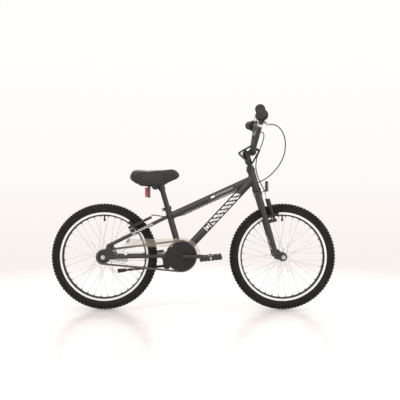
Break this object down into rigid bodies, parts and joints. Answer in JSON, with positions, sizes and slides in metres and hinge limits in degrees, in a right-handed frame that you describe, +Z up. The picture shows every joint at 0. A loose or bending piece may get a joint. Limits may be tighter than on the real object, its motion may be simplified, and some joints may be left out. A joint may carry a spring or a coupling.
{
  "type": "bmx bike",
  "caption": "Small-wheeled BMX bicycle with coaster and rim brakes, one-piece crank, chain guard, high handlebar with stem pad, padded saddle and folding kickstand.",
  "frame": {"origin": "on the ground, midway between the axles, in the bicycle's middle plane", "axes": "+X forward, +Y to the rider's left, +Z up"},
  "size_m": [1.3559, 0.6742, 0.9313],
  "materials": {
    "frame_paint": "satin metallic dark grey powder coat",
    "black_metal": "semi-gloss black enamel",
    "rim_metal": "black anodised with machined silver brake tracks",
    "bright_steel": "zinc-plated",
    "ball_steel": "polished balls",
    "chain_steel": "oiled dark brown-grey steel",
    "tyre_rubber": "matt black rubber",
    "soft_rubber": "matt soft rubber",
    "black_plastic": "moulded black plastic",
    "guard_plastic": "clear smoke-tan thin plastic",
    "brake_alloy": "black forged arm with silver screw and rubber pad",
    "lever_alloy": "satin silver",
    "cable_jacket": "dark grey plastic cable housing",
    "bell_metal": "light grey dome",
    "saddle_vinyl": "black grained vinyl over foam",
    "pad_vinyl": "black coated cloth over foam",
    "white_lens": "clear prismatic reflector",
    "red_lens": "red prismatic reflector in a black housing"
  },
  "bodies": {
    "frame": {"head_tube": "frame_paint", "top_tube": "frame_paint", "down_tube": "frame_paint", "seat_tube": "frame_paint", "bottom_bracket_shell": "frame_paint", "chainstays": "frame_paint", "seatstays": "frame_paint", "bearing_cups": "black_metal", "bearing_balls": "ball_steel", "seat_clamp": "black_metal", "frame_fasteners": "bright_steel", "rear_axle": "bright_steel", "coaster_brake_arm": "bright_steel", "chain_guard": "guard_plastic", "kickstand_bracket": "black_metal", "rear_brake_cable": "cable_jacket", "chain": "chain_steel"},
    "seatpost": {"seatpost": "black_metal", "saddle_clamp": "black_metal"},
    "saddle": {"saddle_rails": "black_metal", "saddle_base": "black_plastic", "saddle_cover": "saddle_vinyl", "rear_reflector": "red_lens"},
    "rear_wheel": {"rear_tyre": "tyre_rubber", "rear_rim": "rim_metal", "rear_spokes": "bright_steel", "rear_hub": "black_metal"},
    "rear_cog": {"rear_cog": "black_metal"},
    "crank": {"crank": "black_metal", "chainring": "black_metal", "chainring_guard": "black_plastic", "pedal_axles": "bright_steel"},
    "pedal_right": {"pedal_right": "black_plastic"},
    "pedal_left": {"pedal_left": "black_plastic"},
    "fork": {"fork_crown": "frame_paint", "fork_legs": "frame_paint", "fork_fasteners": "black_metal", "front_axle": "bright_steel", "stem": "black_metal", "handlebar": "frame_paint", "grips": "soft_rubber", "lever_brackets": "black_metal", "bell": "bell_metal", "stem_pad": "pad_vinyl", "front_reflector": "white_lens", "front_reflector_bracket": "black_plastic", "front_brake_cable": "cable_jacket", "rear_cable_loop": "cable_jacket"},
    "front_wheel": {"front_tyre": "tyre_rubber", "front_rim": "rim_metal", "front_spokes": "bright_steel", "front_hub": "black_metal"},
    "brake_lever_left": {"brake_lever_left": "lever_alloy"},
    "brake_lever_right": {"brake_lever_right": "lever_alloy"},
    "bell_striker": {"bell_striker": "bell_metal"},
    "front_brake_arm_left": {"front_brake_arm_left": "brake_alloy"},
    "front_brake_arm_right": {"front_brake_arm_right": "brake_alloy"},
    "rear_brake_arm_left": {"rear_brake_arm_left": "brake_alloy"},
    "rear_brake_arm_right": {"rear_brake_arm_right": "brake_alloy"},
    "kickstand": {"kickstand_leg": "black_metal"}
  },
  "joints": [
    {"name": "steering", "type": "hinge", "parent": "frame", "child": "fork", "pos_m": [0.28846, 0, 0.61828], "axis": [-0.2756, 0, 0.9613], "range_deg": [-60, 60], "deforming": ["rear_cable_loop"]},
    {"name": "front_wheel_spin", "type": "hinge", "parent": "fork", "child": "front_wheel", "pos_m": [0.425, 0, 0.253], "axis": [0, 1, 0], "continuous": true},
    {"name": "rear_wheel_spin", "type": "hinge", "parent": "frame", "child": "rear_wheel", "pos_m": [-0.425, 0, 0.253], "axis": [0, 1, 0], "continuous": true},
    {"name": "crank_spin", "type": "hinge", "parent": "frame", "child": "crank", "pos_m": [-0.059, 0, 0.258], "axis": [0, 1, 0], "continuous": true, "deforming": ["chain"]},
    {"name": "rear_cog_spin", "type": "hinge", "parent": "frame", "child": "rear_cog", "pos_m": [-0.425, 0, 0.253], "axis": [0, 1, 0], "continuous": true},
    {"name": "pedal_right_spin", "type": "hinge", "parent": "crank", "child": "pedal_right", "pos_m": [0.081, -0.12, 0.258], "axis": [0, 1, 0], "continuous": true},
    {"name": "pedal_left_spin", "type": "hinge", "parent": "crank", "child": "pedal_left", "pos_m": [-0.199, 0.12, 0.258], "axis": [0, 1, 0], "continuous": true},
    {"name": "seatpost_height", "type": "slide", "parent": "frame", "child": "seatpost", "axis": [-0.2756, 0, 0.9613], "range_m": [-0.04, 0.06]},
    {"name": "saddle_tilt", "type": "hinge", "parent": "seatpost", "child": "saddle", "pos_m": [-0.183, 0, 0.586], "axis": [0, 1, 0], "range_deg": [-8, 8]},
    {"name": "brake_lever_left_pull", "type": "hinge", "parent": "fork", "child": "brake_lever_left", "pos_m": [0.32243, 0.21206, 0.87558], "axis": [0.8802, 0.0781, 0.468], "range_deg": [0, 15], "stiffness_Nm_per_rad": 1.2, "springref_deg": -17.19, "deforming": ["front_brake_cable"]},
    {"name": "front_brake_arm_left_swing", "type": "hinge", "parent": "fork", "child": "front_brake_arm_left", "pos_m": [0.38363, 0.047, 0.42631], "axis": [0.9613, 0, 0.2756], "range_deg": [0, 3]},
    {"name": "front_brake_arm_right_swing", "type": "hinge", "parent": "fork", "child": "front_brake_arm_right", "pos_m": [0.38363, -0.047, 0.42631], "axis": [-0.9613, 0, -0.2756], "range_deg": [0, 3]},
    {"name": "brake_lever_right_pull", "type": "hinge", "parent": "fork", "child": "brake_lever_right", "pos_m": [0.32243, -0.21206, 0.87558], "axis": [-0.8802, 0.0781, -0.468], "range_deg": [0, 15], "stiffness_Nm_per_rad": 1.2, "springref_deg": -17.19, "deforming": ["rear_brake_cable"]},
    {"name": "rear_brake_arm_left_swing", "type": "hinge", "parent": "frame", "child": "rear_brake_arm_left", "pos_m": [-0.29984, 0.043, 0.39253], "axis": [0.4418, 0, -0.8971], "range_deg": [0, 3]},
    {"name": "rear_brake_arm_right_swing", "type": "hinge", "parent": "frame", "child": "rear_brake_arm_right", "pos_m": [-0.29984, -0.043, 0.39253], "axis": [-0.4418, 0, 0.8971], "range_deg": [0, 3]},
    {"name": "kickstand_fold", "type": "hinge", "parent": "frame", "child": "kickstand", "pos_m": [-0.128, 0.039, 0.205], "axis": [0.352, -0.855, -0.381], "range_deg": [0, 77]},
    {"name": "bell_strike", "type": "hinge", "parent": "fork", "child": "bell_striker", "pos_m": [0.291, -0.163, 0.899], "axis": [-0.995, 0, 0.0995], "range_deg": [0, 30], "stiffness_Nm_per_rad": 0.02, "springref_deg": -17.19}
  ],
  "couplings": [
    {"joint": "rear_cog_spin", "follows": "crank_spin", "ratio": 2.25},
    {"joint": "front_brake_arm_left_swing", "follows": "brake_lever_left_pull", "ratio": 0.2},
    {"joint": "front_brake_arm_right_swing", "follows": "brake_lever_left_pull", "ratio": 0.2},
    {"joint": "rear_brake_arm_left_swing", "follows": "brake_lever_right_pull", "ratio": 0.2},
    {"joint": "rear_brake_arm_right_swing", "follows": "brake_lever_right_pull", "ratio": 0.2}
  ]
}
